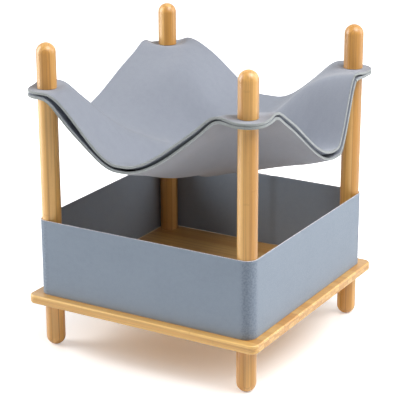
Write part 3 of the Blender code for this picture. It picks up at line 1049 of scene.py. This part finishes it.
@dataclass
class FeltMesh:
    """The mesh of a felt sheet, gathered row by row."""

    points: list[np.ndarray] = field(default_factory=list)
    places: list[np.ndarray] = field(default_factory=list)      # in the flat cut, in metres
    cuts: list[np.ndarray] = field(default_factory=list)
    stretches: list[np.ndarray] = field(default_factory=list)
    faces: list[tuple[int, ...]] = field(default_factory=list)

    def row(self, points: np.ndarray, places: np.ndarray, cut: float, stretch: Any = 0.0) -> np.ndarray:
        """Adds a row of points.

        Args:
            points: the points.
            places: their places in the flat cut.
            cut: 1 on a cut edge and 0 on a face.
            stretch: how far painted shade darkens the felt round a bend, as one number or one for each point.

        Returns:
            The numbers of the points.
        """
        first = sum(len(row) for row in self.points)
        self.points.append(points)
        self.places.append(places)
        self.cuts.append(np.full(len(points), cut))
        self.stretches.append(np.zeros(len(points)) + stretch)
        return np.arange(first, first + len(points))

    def band(self, outer: np.ndarray, inner: np.ndarray, closed: bool) -> None:
        """Joins two rows by a band of faces.

        Args:
            outer: the numbers of one row's points.
            inner: those of the row that the faces reach to.
            closed: whether the last points join the first ones.
        """
        if closed:
            outer, inner = np.append(outer, outer[0]), np.append(inner, inner[0])
        self.faces += zip(outer[:-1], inner[:-1], inner[1:], outer[1:])

    def make(self, name: str) -> bpy.types.Object:
        """Makes the object, with its flat places as a UV map and its masks as attributes.

        Args:
            name: the piece's name.

        Returns:
            The object.
        """
        mesh = bpy.data.meshes.new(name)
        faces = [tuple(int(i) for i in face) for face in self.faces]
        mesh.from_pydata(np.concatenate(self.points).tolist(), [], faces)
        mesh.validate()
        corners = np.zeros(len(mesh.loops), np.int32)
        mesh.loops.foreach_get("vertex_index", corners)
        flat = np.concatenate(self.places)[corners]
        mesh.uv_layers.new(name="UVMap").data.foreach_set("uv", flat.astype(np.float32).ravel())
        write_values(mesh, CUT, np.concatenate(self.cuts))
        write_values(mesh, BEND_SHADE, np.concatenate(self.stretches))
        mesh.shade_smooth()
        piece = bpy.data.objects.new(name, mesh)
        bpy.context.scene.collection.objects.link(piece)
        return piece


@dataclass(frozen=True)
class FreeEdge:
    """One free edge of the hammock seen square on. Pairs go from the low coordinate to the high one."""

    dip: float                        # depth of the lowest stretch below the clamps
    trough: Pair                      # ends of the lowest stretch, from the middle of the edge
    shoulder: Pair                    # where the slopes start, in from the post axes
    swell: Pair                       # heights of the swells beside the posts
    swell_at: Pair                    # places of the swells, in from the post axes


@dataclass(frozen=True)
class Drape:
    """The shape in which the two sheets hang. Heights are from the upper sheet's clamped top."""

    half: float                       # from the middle to the post axes
    rod_radius: float
    clamp_top: float
    thickness: float
    felt_half: float = 0.2286
    front: FreeEdge = FreeEdge(0.104, (-0.034, -0.025), (0.015, 0.016), (0.001, 0.010), (0.033, 0.047))
    right: FreeEdge = FreeEdge(0.112, (0.056, 0.069), (0.024, 0.062), (0.007, 0.006), (0.039, 0.056))
    back: FreeEdge = FreeEdge(0.082, (-0.003, 0.025), (0.044, 0.024), (0.010, 0.006), (0.029, 0.052))
    left: FreeEdge = FreeEdge(0.078, (-0.074, -0.066), (0.017, 0.024), (0.019, 0.011), (0.045, 0.033))
    ridge_heights: tuple[float, ...] = (0.039, 0.008, 0.004, 0.006)
    clamp_reach: float = 0.001
    clamp_blend: float = 0.024
    bowl_limit: float = 0.150
    basin_depth: float = 0.039
    ridge_start: float = 0.161
    ridge_fade: float = 0.217
    ridge_width: float = 0.049
    swell_width: float = 0.026
    swell_reach: float = 0.026
    layer_spread: float = 0.0030
    middle_spread: float = 0.0034
    front_spread: float = 0.0030      # how much more they part along the front edge
    front_at: float = 0.065
    front_width: float = 0.070
    shut_tabs: tuple[Corner, ...] = (Corner.FRONT_RIGHT, Corner.BACK_RIGHT, Corner.BACK_LEFT)
    tab_start: float = 0.020          # there the sheets lie together out to here from a post's axis
    tab_blend: float = 0.055
    right_spread: float = 0.0035
    flare_spread: float = 0.0075      # how much more they part at the front left
    flare_at: float = 0.075
    flare_width: float = 0.035
    ripple: float = 0.0004            # small unevenness of the pressed sheet
    ripple_scale: float = 22.0
    slope_step: float = 0.0005        # how far apart two heights are taken for a slope

    def share(self, place: np.ndarray) -> np.ndarray:
        """0 at the left or front posts, rising to 1 at the right or back ones."""
        return smooth((place + self.half) / (2 * self.half))

    def reach(self, x: np.ndarray, y: np.ndarray, corner: Corner) -> np.ndarray:
        """Distances from the axis of a corner's post."""
        return np.hypot(x - corner.side_x * self.half, y - corner.side_y * self.half)

    def basin(self, x: np.ndarray, y: np.ndarray) -> np.ndarray:
        """1 in the middle of the sheets, falling to 0 at their edges."""
        across, deep = (np.clip(places / self.felt_half, -1.0, 1.0) for places in (x, y))
        return (1.0 - across ** 2) * (1.0 - deep ** 2)

    def edge_dip(self, along: np.ndarray, edge: FreeEdge) -> np.ndarray:
        """Height of a free edge, without its swells.

        Args:
            along: distances from its middle.
            edge: the edge.

        Returns:
            The heights.
        """
        low, high = edge.trough
        rise_low = smooth((low - along) / (low + self.half - edge.shoulder[0]))
        rise_high = smooth((along - high) / (self.half - edge.shoulder[1] - high))
        return -edge.dip * (1.0 - rise_low - rise_high)

    def edge_swell(self, along: np.ndarray, inward: np.ndarray, edge: FreeEdge) -> np.ndarray:
        """Height of an edge's swells, which fade in from the line between its posts.

        Args:
            along: distances from the edge's middle.
            inward: distances in from the line between its posts.
            edge: the edge.

        Returns:
            The heights.
        """
        height = np.zeros_like(along)
        for side, swell, inset in zip((-1, 1), edge.swell, edge.swell_at):
            height = height + swell * hump(along, side * (self.half - inset), self.swell_width)
        return height * hump(np.maximum(inward, 0.0), 0.0, self.swell_reach)

    def freedom(self, x: np.ndarray, y: np.ndarray) -> np.ndarray:
        """How free the sheets hang.

        Args:
            x: places along X.
            y: places along Y.

        Returns:
            0 where they are clamped, rising to 1 away from the posts.
        """
        free = np.ones_like(x)
        for corner in Corner:
            away = self.reach(x, y, corner) - self.rod_radius - self.clamp_reach
            free = free * smooth(away / self.clamp_blend)
        return free

    def ridges(self, x: np.ndarray, y: np.ndarray) -> np.ndarray:
        """Height of the ridges that run in from the posts along the diagonals.

        Args:
            x: places along X.
            y: places along Y.

        Returns:
            The heights.
        """
        centre = self.half * math.sqrt(2.0)
        height = np.zeros_like(x)
        for corner, ridge in zip(Corner, self.ridge_heights):
            inward = centre - (x * corner.side_x + y * corner.side_y) / math.sqrt(2.0)
            sideways = (x * corner.side_x - y * corner.side_y) / math.sqrt(2.0)
            fading = 1.0 - smooth((inward - self.ridge_fade) / (centre - self.ridge_fade))
            raised = smooth(inward / self.ridge_start) * fading
            height = height + ridge * raised * hump(sideways, 0.0, self.ridge_width)
        return height

    def height(self, x: np.ndarray, y: np.ndarray) -> np.ndarray:
        """Height of the upper sheet's top. Each direction blends two opposite edges.

        Args:
            x: places along X.
            y: places along Y.

        Returns:
            The heights.
        """
        to_right, to_back = self.share(x), self.share(y)
        across = self.edge_dip(x, self.front) * (1.0 - to_back) + self.edge_dip(x, self.back) * to_back
        deep = self.edge_dip(y, self.left) * (1.0 - to_right) + self.edge_dip(y, self.right) * to_right
        height = across + deep + across * deep / self.bowl_limit - self.basin_depth * self.basin(x, y)
        for along, inward, edge in (
            (x, y + self.half, self.front), (x, self.half - y, self.back),
            (y, x + self.half, self.left), (y, self.half - x, self.right),
        ):
            height = height + self.edge_swell(along, inward, edge)
        return (height + self.ridges(x, y)) * self.freedom(x, y)

    def normal(self, x: np.ndarray, y: np.ndarray) -> np.ndarray:
        """Upward unit normals of the upper sheet's top.

        Args:
            x: places along X.
            y: places along Y.

        Returns:
            A row for each place.
        """
        step = self.slope_step
        slope_x = (self.height(x + step, y) - self.height(x - step, y)) / (2 * step)
        slope_y = (self.height(x, y + step) - self.height(x, y - step)) / (2 * step)
        normal = np.stack([-slope_x, -slope_y, np.ones_like(slope_x)], axis=1)
        return normal / np.linalg.norm(normal, axis=1, keepdims=True)

    def spread(self, x: np.ndarray, y: np.ndarray) -> np.ndarray:
        """Distance between the two sheets, apart from the bare touch at the clamps.

        Args:
            x: places along X.
            y: places along Y.

        Returns:
            The distances.
        """
        flare = self.flare_spread * hump(self.reach(x, y, Corner.FRONT_LEFT), self.flare_at, self.flare_width)
        beside = self.right_spread * self.share(x) * (1.0 - np.clip(y / self.felt_half, -1.0, 1.0) ** 2)
        near_front = hump(y, -self.felt_half, self.flare_width)
        front = self.front_spread * near_front * hump(x, self.front_at, self.front_width)
        apart = self.layer_spread + self.middle_spread * self.basin(x, y) + flare + beside + front
        for corner in self.shut_tabs:
            apart = apart * smooth((self.reach(x, y, corner) - self.tab_start) / self.tab_blend)
        return self.freedom(x, y) * apart

    def hang(self, flat: np.ndarray, depth: np.ndarray, seed: float) -> np.ndarray:
        """Carries points of a flat sheet to where they hang.

        Args:
            flat: places in the flat sheet, seen from above.
            depth: how far under the upper sheet's top each point lies.
            seed: which unevenness the sheet has.

        Returns:
            The points.
        """
        x, y = flat[:, 0], flat[:, 1]
        scale = self.ripple_scale
        uneven = np.array([noise.noise(Vector((px * scale, py * scale, seed))) for px, py in flat])
        lift = self.ripple * uneven * self.freedom(x, y)
        surface = np.stack([x, y, self.clamp_top + self.height(x, y) + lift], axis=1)
        return surface - self.normal(x, y) * depth[:, None]


@dataclass
class HammockWork:
    """The two felt sheets of the hammock, one under the other, clamped at the four posts."""

    finishes: Finishes
    tab_reach: float = 0.033          # from a hole to the edges beside it, and the corner radius
    hole_radius: float = 0.0046
    rim: float = 0.0011               # rounding of a cut edge
    rim_steps: int = 4
    pitch: float = 0.0042
    rim_pitch: float = 0.0030
    hole_steps: int = 32
    corner_steps: int = 18
    weld: float = 1e-7                # flat points closer than this are one
    cut_share: float = 0.985          # a sheet's area, as a share of the square that it is cut from
    seeds: Pair = (3.1, 7.7)          # of the upper and the lower sheet's unevenness
    drape: Drape = field(init=False)
    flat: np.ndarray = field(init=False)
    triangles: list[tuple[int, ...]] = field(init=False)
    count: int = field(init=False)
    upper: bpy.types.Object = field(init=False)
    lower: bpy.types.Object = field(init=False)

    def outline(self) -> tuple[np.ndarray, np.ndarray]:
        """The flat sheet's outline, drawn in from its edge by the rounding.

        Returns:
            The points, anticlockwise, and the outward direction at each.
        """
        inner = self.drape.felt_half - self.tab_reach
        radius = self.tab_reach - self.rim
        cuts = round(2 * inner / self.rim_pitch)
        shares = np.arange(1, cuts)[:, None] / cuts
        points, outward = [], []
        for turn, (side_x, side_y) in enumerate(((1, -1), (1, 1), (-1, 1), (-1, -1))):
            start = (turn - 1) * math.pi / 2
            centre = np.array((side_x * inner, side_y * inner))
            bend = arc((0.0, 0.0), 1.0, start, start + math.pi / 2, self.corner_steps)
            facing = bend[-1]
            along = np.array((-facing[1], facing[0]))
            points += [centre + bend * radius, centre + facing * radius + along * (2 * inner) * shares]
            outward += [bend, np.repeat(facing[None, :], cuts - 1, axis=0)]
        return np.concatenate(points), np.concatenate(outward)

    def layout(self) -> tuple[np.ndarray, list[tuple[int, ...]], int]:
        """Flat triangles of a sheet, with its four holes left open.

        Returns:
            The points, the triangles, and how many points the outline has, which come first.
        """
        edge_points, _ = self.outline()
        count = len(edge_points)
        points = [tuple(point) for point in edge_points]
        edges = [(i, (i + 1) % count) for i in range(count)]
        holes = [(corner.side_x * self.drape.half, corner.side_y * self.drape.half) for corner in Corner]
        clamp = self.drape.rod_radius + self.drape.clamp_reach
        for centre in holes:
            for radius in (self.hole_radius, clamp):
                first = len(points)
                points += [tuple(point) for point in arc(centre, radius, 0.0, math.tau, self.hole_steps)[:-1]]
                edges += [(first + i, first + (i + 1) % self.hole_steps) for i in range(self.hole_steps)]
        half = self.drape.felt_half
        inner = half - self.tab_reach
        cells = round(2 * half / self.pitch)
        edge_room = self.rim + self.pitch / 2
        ring_room = self.pitch / 3
        ruler = np.linspace(-half, half, cells + 1)
        for i, x in enumerate(ruler):
            for y in ruler + (half / cells if i % 2 else 0.0):
                corner_reach = math.hypot(max(abs(x) - inner, 0.0), max(abs(y) - inner, 0.0))
                in_corner = abs(x) > inner and abs(y) > inner
                nearest = min(math.dist((x, y), hole) for hole in holes)
                if (
                    max(abs(x), abs(y)) <= half - edge_room
                    and not (in_corner and corner_reach > self.tab_reach - edge_room)
                    and nearest > self.hole_radius + ring_room and abs(nearest - clamp) > ring_room
                ):
                    points.append((x, y))
        made = delaunay_2d_cdt([Vector(point) for point in points], edges, [], 1, self.weld)
        flat = np.array([tuple(point) for point in made[0]])
        triangles = []
        for face in made[2]:
            middle = flat[list(face)].mean(axis=0)
            if min(math.dist(middle, hole) for hole in holes) > self.hole_radius:
                triangles.append(tuple(face))
        return flat, triangles, count

    def rim_profile(self) -> list[Pair]:
        """The cut edge in section.

        Returns:
            How far out and how deep each row of the edge lies, from the top face to the bottom face.
        """
        quarter = np.linspace(0.0, math.pi / 2, self.rim_steps + 1)
        upper = [(self.rim * math.sin(a), self.rim * (1 - math.cos(a))) for a in quarter]
        return upper + [(out, self.drape.thickness - deep) for out, deep in reversed(upper)]

    def hole_walls(self) -> list[tuple[int, ...]]:
        """The walls of the four holes, between the top face and the bottom face.

        Returns:
            The faces.
        """
        total = len(self.flat)
        edges = dict.fromkeys(
            edge for triangle in self.triangles for edge in zip(triangle, triangle[1:] + triangle[:1]))
        return [
            (b, a, a + total, b + total) for a, b in edges
            if (b, a) not in edges and max(a, b) >= self.count]

    def sheet(
        self, name: str, gap: Callable[[np.ndarray, np.ndarray], np.ndarray], seed: float
    ) -> bpy.types.Object:
        """Makes one sheet.

        Args:
            name: the piece's name.
            gap: how far its top lies under the upper sheet's top.
            seed: which unevenness it has.

        Returns:
            The sheet.
        """
        mesh = FeltMesh()
        depth = gap(self.flat[:, 0], self.flat[:, 1])
        top = mesh.row(self.drape.hang(self.flat, depth, seed), self.flat, 0.0)
        bottom = mesh.row(self.drape.hang(self.flat, depth + self.drape.thickness, seed), self.flat, 0.0)
        mesh.faces += self.triangles
        mesh.faces += [tuple(bottom[i] for i in reversed(triangle)) for triangle in self.triangles]
        edge_points, outward = self.outline()
        previous = top[:self.count]
        for out, deep in self.rim_profile()[1:-1]:
            moved = edge_points + outward * out
            hung = self.drape.hang(moved, gap(moved[:, 0], moved[:, 1]) + deep, seed)
            current = mesh.row(hung, edge_points + outward * (out + deep), 1.0)
            mesh.band(previous, current, closed=True)
            previous = current
        mesh.band(previous, bottom[:self.count], closed=True)
        mesh.faces += self.hole_walls()
        return mesh.make(name)

    def build(self) -> None:
        """Makes both sheets."""
        post = measure("post_front_right")
        clamp_top = measure("cap_front_right").bottom - TOUCH
        thickness = (clamp_top - post.top - 2 * TOUCH) / 2
        self.drape = Drape(post.axis.x, post.radius, clamp_top, thickness)
        self.flat, self.triangles, self.count = self.layout()
        self.upper = self.sheet("felt_upper", lambda x, y: np.zeros_like(x), self.seeds[0])
        self.lower = self.sheet(
            "felt_lower", lambda x, y: thickness + TOUCH + self.drape.spread(x, y), self.seeds[1])

    def declare(self, piece: bpy.types.Object) -> None:
        """Reads a sheet's points and its triangles, and does nothing more with them.

        Args:
            piece: the sheet.
        """
        points, corners = mesh_points(piece), np.array(self.triangles)

    def dress(self) -> None:
        for piece, node in ((self.upper, "hammock_upper_felt"), (self.lower, "hammock_lower_felt")):
            hang_on(piece, self.finishes.hammock, "frame", node)
            self.declare(piece)


@dataclass
class WallWork:
    """The felt strip that runs round the posts and stands on the board, lapped behind."""

    finishes: Finishes
    lap: float = 0.036
    rim: float = 0.0009
    rim_steps: int = 3
    pitch: float = 0.005
    row_pitch: float = 0.0069
    corner_steps: int = 12
    ripple: float = 0.00022
    ripple_scale: Pair = (9.0, 14.0)  # along the strip and up it
    ripple_seed: float = 1.7
    stretch: float = 0.60             # painted shade: how far the felt darkens where it turns round a post
    stretch_reach: float = 0.004
    node: str = "wall_band"
    thickness: float = field(init=False)
    length: float = field(init=False)
    piece: bpy.types.Object = field(init=False)

    def path(self) -> tuple[np.ndarray, np.ndarray, np.ndarray]:
        """The strip's inner face seen from above, from its outer end to its inner one.

        Returns:
            The points, the outward direction at each, and the distance along the strip.
        """
        low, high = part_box("post_front_right")
        half, offset = (low.x + high.x) / 2, (high.x - low.x) / 2 + TOUCH
        side = half + offset
        step_in = self.thickness + TOUCH
        backward = np.array([(0.0, 1.0)])
        runs, outward = [np.array([(self.lap / 2, side)])], [backward]
        for turn, (side_x, side_y) in enumerate(((-1, 1), (-1, -1), (1, -1), (1, 1))):
            first = (turn + 1) * math.pi / 2
            bend = arc((0.0, 0.0), 1.0, first, first + math.pi / 2, self.corner_steps)
            centre = np.array((side_x * half, side_y * half))
            cuts = round((self.lap / 2 + half if turn == 0 else 2 * half) / self.pitch)
            shares = np.arange(1, cuts)[:, None] / cuts
            begin, finish = runs[-1][-1], centre + bend[0] * offset
            runs += [begin + (finish - begin) * shares, centre + bend * offset]
            outward += [np.repeat(bend[:1], cuts - 1, axis=0), bend]
        last = np.linspace(half, -self.lap / 2, round((half + self.lap / 2) / self.pitch))[1:]
        sunk = side - step_in * smooth((self.lap - last) / (self.lap / 2 - step_in))
        runs.append(np.stack([last, sunk], axis=1))
        outward.append(np.repeat(backward, len(last), axis=0))
        points = np.concatenate(runs)
        steps = np.linalg.norm(np.diff(points, axis=0), axis=1)
        return points, np.concatenate(outward), np.concatenate([[0.0], np.cumsum(steps)])

    def section(self, bottom: float, top: float) -> list[Triple]:
        """The strip in section, as a closed loop of places out from its inner face and up.

        Args:
            bottom: height of its lower edge.
            top: height of its upper edge.

        Returns:
            How far out and how high each row lies, and 1 on a cut edge.
        """
        near, far = self.rim, self.thickness - self.rim
        lower, upper = bottom + self.rim, top - self.rim
        heights = np.linspace(lower, upper, round((top - bottom) / self.row_pitch))
        loop = [(self.thickness, height, 0.0) for height in heights]
        for turn, centre in enumerate(((far, upper), (near, upper), (near, lower), (far, lower))):
            start = turn * math.pi / 2
            bend = arc(centre, self.rim, start, start + math.pi / 2, self.rim_steps)
            loop += [(out, height, 1.0) for out, height in (bend[:-1] if turn % 2 else bend[1:])]
            if turn == 1:
                loop += [(0.0, height, 0.0) for height in heights[::-1]]
        return loop

    def build(self) -> None:
        """Makes the strip."""
        low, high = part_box(self.node)
        self.thickness = high.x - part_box("post_front_right")[1].x - TOUCH
        points, outward, along = self.path()
        self.length = float(along[-1])
        # Painted shade: the felt is darkened over each bend round a post, fading out beside it.
        bends = along[np.abs(outward).min(axis=1) > NEAR]
        away = np.abs(along[:, None] - bends[None, :]).min(axis=1)
        bend_shade_amounts = self.stretch * (1.0 - smooth((away - self.stretch_reach) / self.stretch_reach + 1.0))
        scale_along, scale_up = self.ripple_scale
        mesh = FeltMesh()
        rows = []
        for out, height, on_cut in self.section(low.z, high.z):
            sway = np.array([
                noise.noise(Vector((s * scale_along, height * scale_up, self.ripple_seed))) for s in along])
            moved = points + outward * (out + self.ripple * (sway[:, None] + 1.0) * 0.5)
            places = np.stack([along, np.full(len(along), height + out)], axis=1)
            rows.append(mesh.row(np.column_stack([moved, np.full(len(moved), height)]), places, on_cut, bend_shade_amounts))
        for k, row in enumerate(rows):
            mesh.band(rows[(k + 1) % len(rows)], row, closed=False)
        mesh.faces.append(tuple(row[0] for row in rows))
        mesh.faces.append(tuple(row[-1] for row in reversed(rows)))
        self.piece = mesh.make("felt_wall")

    def dress(self) -> None:
        hang_on(self.piece, self.finishes.wall, "frame", self.node)


# Studio


@dataclass(frozen=True)
class Softbox:
    """A large soft lamp that faces the middle of the object. Azimuth 0 stands in front, at -Y."""

    name: str
    azimuth: float
    height: float
    distance: float
    width: float
    tall: float
    power: float
    aim_height: float = 0.28

    def hang(self) -> None:
        """Adds the lamp."""
        turn = math.radians(self.azimuth)
        place = Vector((math.sin(turn) * self.distance, -math.cos(turn) * self.distance, self.height))
        let_go()
        bpy.ops.object.light_add(type="AREA", location=place)
        lamp = bpy.context.object
        lamp.name = self.name
        toward = Vector((0.0, 0.0, self.aim_height)) - place
        lamp.rotation_euler = toward.to_track_quat("-Z", "Y").to_euler()
        lamp.data.shape = "RECTANGLE"
        lamp.data.size = self.width
        lamp.data.size_y = self.tall
        lamp.data.energy = self.power


@dataclass
class Studio:
    """The camera at the photograph's view, soft lamps, a white surround and a pale floor."""

    camera_place: Triple = (1.2863, -2.1951, 1.1068)
    camera_yaw: float = 30.541
    camera_pitch: float = 18.655
    camera_roll: float = -0.198
    lens: float = 134.32
    sensor: float = 36.0
    ambient: float = 0.02
    floor_reach: float = 30.0
    floor_colour: float = 0.93
    floor_roughness: float = 0.30
    floor_ior: float = 1.7
    floor_lift: float = 0.15          # light added to the floor under the object
    # painted light: the warm tint of the glow under the object stands in for warm bounce light from the board
    floor_tint: Triple = (1.0, 0.84, 0.66)
    tint_ends: float = 0.28
    white_from: float = 0.10          # from here outward the floor is lifted to white
    white_at: float = 0.58
    lamps: tuple[Softbox, ...] = (
        Softbox("lamp_behind", azimuth=127.0, height=1.2, distance=2.5, width=1.6, tall=2.2, power=31.0),
        Softbox("lamp_left", azimuth=-67.0, height=1.1, distance=2.5, width=1.4, tall=2.2, power=65.0),
        Softbox("lamp_right", azimuth=80.0, height=2.6, distance=1.4, width=1.8, tall=1.8, power=75.0),
    )

    def camera(self) -> None:
        """Adds the camera."""
        let_go()
        level = Euler((math.radians(90 - self.camera_pitch), 0.0, math.radians(self.camera_yaw))).to_matrix()
        turned = level @ Matrix.Rotation(math.radians(self.camera_roll), 3, "Z")
        bpy.ops.object.camera_add(location=self.camera_place, rotation=turned.to_euler())
        camera = bpy.context.object
        camera.name = "camera"
        camera.data.lens = self.lens
        camera.data.sensor_width = self.sensor
        bpy.context.scene.camera = camera

    def surround(self) -> None:
        """Makes the world: white where it is seen or mirrored, and a soft even light elsewhere."""
        world = bpy.data.worlds.new("surround")
        bpy.context.scene.world = world
        world.use_nodes = True
        board = NodeBoard(world.node_tree)
        world.node_tree.nodes.clear()
        rays = board.add("ShaderNodeLightPath").outputs
        seen = board.math("MAXIMUM", rays["Is Camera Ray"], rays["Is Transmission Ray"])
        seen = board.math("MAXIMUM", seen, rays["Is Glossy Ray"])
        light, white = (
            board.add("ShaderNodeBackground", {"Color": WHITE, "Strength": strength}).outputs[0]
            for strength in (self.ambient, 1.0))
        mixed = board.add("ShaderNodeMixShader", {0: seen, 1: light, 2: white}).outputs[0]
        board.add("ShaderNodeOutputWorld", {"Surface": mixed})

    def floor(self) -> None:
        """Adds the pale floor, lifted to white for the camera, with the added glow tinted warm near the
        object as a painted warm bounce from the board.
        """
        let_go()
        bpy.ops.mesh.primitive_plane_add(size=self.floor_reach, location=(0.0, 0.0, 0.0))
        floor = name_new("floor")
        material, board, shader = new_material("floor_finish")
        board.feed(shader.inputs, {
            "Base Color": (*[self.floor_colour] * 3, 1.0), "Roughness": self.floor_roughness,
            "IOR": self.floor_ior})
        rays = board.add("ShaderNodeLightPath").outputs
        place = board.add("ShaderNodeTexCoord").outputs["Object"]
        reach = board.add("ShaderNodeVectorMath", {0: place}, operation="LENGTH").outputs["Value"]
        lift = board.remap(reach, (self.white_from, self.white_at), (self.floor_lift, 1.0))
        strength = board.math("MULTIPLY", rays["Is Camera Ray"], lift)
        # Painted light: the glow is tinted warm under the object, as bounce from the board, and turns white
        # outward.
        plain = board.remap(reach, (self.white_from, self.tint_ends), (0.0, 1.0))
        painted_bounce = board.mix(plain, opaque(self.floor_tint), WHITE)
        glow = board.add("ShaderNodeEmission", {"Color": painted_bounce, "Strength": strength}).outputs[0]
        total = board.add("ShaderNodeAddShader", {0: shader.outputs[0], 1: glow}).outputs[0]
        board.feed(board.tree.nodes["Material Output"].inputs, {"Surface": total})
        floor.data.materials.append(material)

    def build(self) -> None:
        """Sets up the whole studio."""
        bpy.context.scene.view_settings.view_transform = "Standard"
        self.camera()
        self.surround()
        self.floor()
        for lamp in self.lamps:
            lamp.hang()


def main() -> None:
    """Builds the studio and every piece of the condo."""
    logging.basicConfig(level=logging.INFO, format="%(message)s")
    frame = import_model()
    Studio().build()
    finishes = Finishes()
    works = (
        BoardWork(finishes), RodWork(finishes), HardwareWork(finishes, frame["nodes"]), WallWork(finishes),
        HammockWork(finishes))
    for work in works:
        work.build()
        work.dress()


if __name__ == "__main__":
    main()
